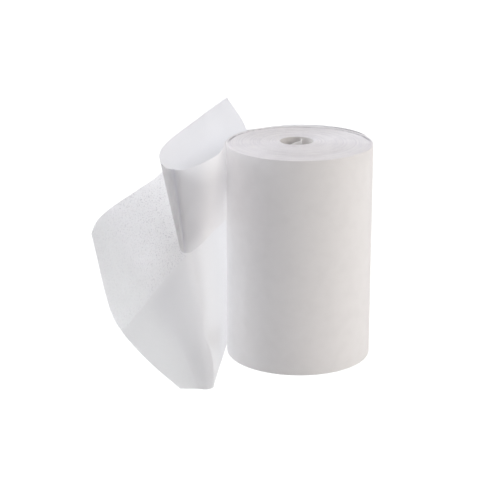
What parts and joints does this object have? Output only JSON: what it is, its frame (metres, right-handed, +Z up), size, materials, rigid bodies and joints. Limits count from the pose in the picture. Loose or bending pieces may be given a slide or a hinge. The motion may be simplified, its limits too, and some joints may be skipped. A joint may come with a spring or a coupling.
{
  "type": "adhesive fixation tape roll",
  "caption": "Roll of wide white nonwoven adhesive tape standing on its end, loose end opened out, one half of its slit release paper peeled and curled.",
  "frame": {"origin": "on the floor, under the middle of the bounding box", "axes": "+Z up along the roll's axis, +X from the loose end towards the roll, the front of the pictured view looks along +Y"},
  "size_m": [0.1256, 0.0848, 0.1164],
  "materials": {
    "nonwoven": "matte white nonwoven",
    "adhesive_face": "white nonwoven seen through clear adhesive, fine glints",
    "release_paper": "smooth coated paper, soft sheen"
  },
  "bodies": {
    "root": {"wound_roll": "nonwoven", "inner_end": "nonwoven", "loose_end_tape": "adhesive_face", "lower_paper_half": "release_paper", "upper_paper_half": "release_paper"}
  },
  "joints": []
}
